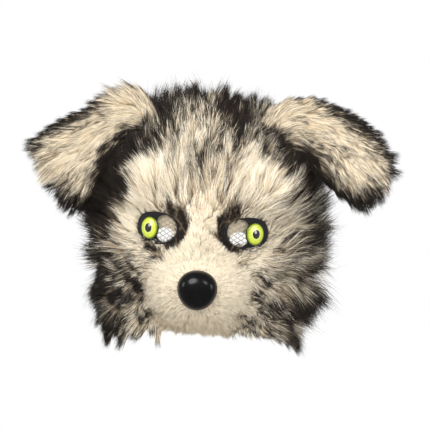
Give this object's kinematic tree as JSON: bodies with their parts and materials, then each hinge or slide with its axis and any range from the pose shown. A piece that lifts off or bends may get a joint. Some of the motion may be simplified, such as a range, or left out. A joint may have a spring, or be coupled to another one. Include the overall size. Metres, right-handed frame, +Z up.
{
  "type": "plush wolf half mask",
  "caption": "Plush wolf half mask with drooping ears, a short-pile muzzle, a padded nose, plastic eyes beside see-through net windows and a plain head strap.",
  "frame": {"origin": "the point on the inner face of the form, on the mid-line, that rests on the middle of the wearer's forehead, 32.8 mm above the plane of the eye line", "axes": "+Z up, the face looks along -Y, +X is to the right as seen from the front, and +Y is the way the wearer's head leaves the mask"},
  "size_m": [0.3281, 0.2441, 0.2433],
  "materials": {
    "form_fabric": "stiffened woven backing, matt",
    "grey_pile": "deep-pile fur cloth, cream with dark tips",
    "cream_pile": "short-pile fur cloth, cream",
    "ear_pile": "deep-pile fur cloth, cream with dark edges",
    "net": "grey-brown knotted net",
    "felt": "black felt",
    "nose_cover": "black coated dome, satin gloss",
    "iris_plastic": "yellow-green, streaked, clear-coated",
    "pupil_plastic": "black, high gloss",
    "elastic": "black woven elastic"
  },
  "bodies": {
    "root": {"mask_form": "form_fabric", "head_fur": "grey_pile", "muzzle_fur": "cream_pile", "nose": "nose_cover", "left_ear": "ear_pile", "right_ear": "ear_pile", "left_eye_net": "net", "right_eye_net": "net", "left_eye_patch": "felt", "right_eye_patch": "felt", "left_eye": "iris_plastic", "right_eye": "iris_plastic", "left_pupil": "pupil_plastic", "right_pupil": "pupil_plastic", "strap": "elastic"}
  },
  "joints": []
}
